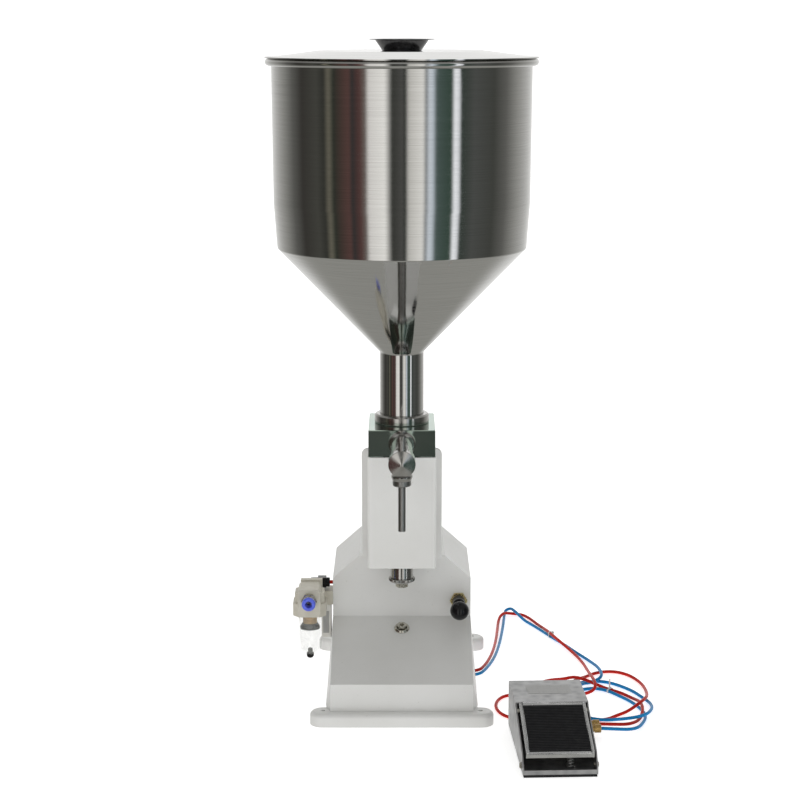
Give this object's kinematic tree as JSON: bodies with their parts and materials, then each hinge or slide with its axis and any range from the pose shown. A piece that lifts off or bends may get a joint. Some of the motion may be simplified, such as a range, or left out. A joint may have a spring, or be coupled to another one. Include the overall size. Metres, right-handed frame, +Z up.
{
  "type": "piston liquid filler",
  "caption": "Tabletop pneumatic piston filler for liquids and pastes: lidded conical hopper on a dosing cylinder, side nozzle, white cast body, air filter and a foot pedal on two hoses",
  "frame": {"origin": "on the table plane, straight below the vertical axis of the hopper", "axes": "+Z up; -Y towards the operator, where the nozzle points; +X to the operator's right, where the foot pedal lies"},
  "size_m": [0.4657, 0.6224, 0.8],
  "materials": {
    "white_paint": "satin enamel, slightly worn at the edges",
    "hopper_steel": "polished stainless sheet, finely brushed round the axis",
    "polished_steel": "mirror polished stainless",
    "turned_steel": "turned stainless with fine rings",
    "dark_steel": "satin stainless tube",
    "zinc_screw": "bright zinc plated",
    "yellow_zinc": "yellow passivated zinc",
    "alloy": "satin anodised",
    "filter_alloy": "die cast, lacquered",
    "valve_plastic": "beige moulding",
    "black_plastic": "glossy black moulding",
    "blue_plastic": "glossy blue moulding",
    "bowl_plastic": "clear polycarbonate",
    "sintered_bronze": "rough sintered bronze",
    "fitting_brass": "turned brass",
    "seal_rubber": "black nitrile",
    "pedal_steel": "galvanised sheet",
    "tread_steel": "bright plated sheet",
    "pedal_rubber": "ribbed black rubber",
    "spring_steel": "bright spring wire",
    "red_tube": "red polyurethane",
    "blue_tube": "blue polyurethane",
    "tie_nylon": "natural nylon"
  },
  "bodies": {
    "frame": {"base_plate": "white_paint", "body_housing": "white_paint", "rear_cover": "white_paint", "cover_screws": "zinc_screw", "column": "white_paint", "cylinder_cover": "white_paint", "valve_block": "polished_steel", "hopper_collar": "turned_steel", "hopper": "hopper_steel", "inlet_spring": "spring_steel", "dosing_cylinder": "turned_steel", "air_cylinder_barrel": "alloy", "cylinder_heads": "alloy", "tie_rods": "zinc_screw", "nozzle_body": "turned_steel", "nozzle_cap": "turned_steel", "outlet_spring": "spring_steel", "nozzle_collar_nut": "dark_steel", "discharge_tube": "dark_steel", "front_cup_washer": "zinc_screw", "front_screw": "zinc_screw", "hand_valve_body": "black_plastic", "filter_body": "filter_alloy", "filter_bowl": "bowl_plastic", "filter_element": "sintered_bronze", "filter_baffle": "black_plastic", "air_inlet_fitting": "zinc_screw", "filter_manifold": "filter_alloy", "pilot_valve_body": "valve_plastic", "pilot_valve_fitting": "black_plastic", "pedal_cover": "pedal_steel", "pedal_base": "pedal_steel", "pedal_sole": "pedal_rubber", "pedal_hinge_pin": "zinc_screw", "pedal_spring": "spring_steel", "pedal_valve_body": "alloy", "pedal_fittings": "fitting_brass", "hose_grommets": "seal_rubber", "hose_ties": "tie_nylon", "red_hose": "red_tube", "blue_hose": "blue_tube"},
    "lid_group": {"lid": "hopper_steel", "lid_knob": "hopper_steel", "lid_knob_screw": "zinc_screw"},
    "ball": {"inlet_ball": "polished_steel"},
    "piston_group": {"dosing_piston": "turned_steel", "piston_seals": "seal_rubber", "piston_rod": "polished_steel", "air_piston": "alloy", "adjuster_lock_nut": "zinc_screw"},
    "adjuster": {"stroke_adjuster": "turned_steel"},
    "poppet": {"outlet_poppet": "turned_steel"},
    "hand_slider": {"hand_valve_stem": "zinc_screw", "hand_valve_knob": "black_plastic"},
    "drain": {"filter_drain": "black_plastic"},
    "release_ring": {"inlet_release_ring": "blue_plastic"},
    "pilot_spool": {"pilot_valve_spool": "alloy"},
    "tread": {"pedal_tread": "tread_steel", "pedal_pad": "pedal_rubber"},
    "pedal_spool": {"pedal_valve_spool": "polished_steel"}
  },
  "joints": [
    {"name": "lid_lift", "type": "slide", "parent": "frame", "child": "lid_group", "axis": [0, 0, 1], "range_m": [0, 0.12]},
    {"name": "inlet_ball_travel", "type": "slide", "parent": "frame", "child": "ball", "axis": [0, 0, -1], "range_m": [0, 0.0045], "stiffness_N_per_m": 60, "springref_m": -0.001, "deforming": ["inlet_spring"]},
    {"name": "piston_stroke", "type": "slide", "parent": "frame", "child": "piston_group", "axis": [0, 0, -1], "range_m": [0, 0.04]},
    {"name": "stroke_adjuster_turn", "type": "hinge", "parent": "piston_group", "child": "adjuster", "pos_m": [0, -0.028, 0.16], "axis": [0, 0, 1], "continuous": true},
    {"name": "outlet_poppet_travel", "type": "slide", "parent": "frame", "child": "poppet", "axis": [0, -1, 0], "range_m": [0, 0.006], "stiffness_N_per_m": 200, "springref_m": -0.002, "deforming": ["outlet_spring"]},
    {"name": "hand_valve_push", "type": "slide", "parent": "frame", "child": "hand_slider", "axis": [0, 1, 0], "range_m": [0, 0.007]},
    {"name": "drain_screw_turn", "type": "hinge", "parent": "frame", "child": "drain", "pos_m": [-0.112, -0.02, 0.058], "axis": [0, 0, 1], "continuous": true},
    {"name": "release_ring_push", "type": "slide", "parent": "frame", "child": "release_ring", "axis": [0, 1, 0], "range_m": [0, 0.001], "stiffness_N_per_m": 400},
    {"name": "pilot_spool_shift", "type": "slide", "parent": "frame", "child": "pilot_spool", "axis": [0, 0, 1], "range_m": [-0.003, 0.003]},
    {"name": "tread_press", "type": "hinge", "parent": "frame", "child": "tread", "pos_m": [0.17149, -0.19092, 0.047], "axis": [0.999, 0.0436, 0], "range_deg": [0, 10], "stiffness_Nm_per_rad": 3, "springref_deg": -8.59, "deforming": ["pedal_spring"]},
    {"name": "pedal_spool_travel", "type": "slide", "parent": "frame", "child": "pedal_spool", "axis": [-0.0436, 0.999, 0], "range_m": [0, 0.0055]}
  ],
  "couplings": [
    {"joint": "pedal_spool_travel", "follows": "tread_press", "m_per_rad": 0.028}
  ]
}
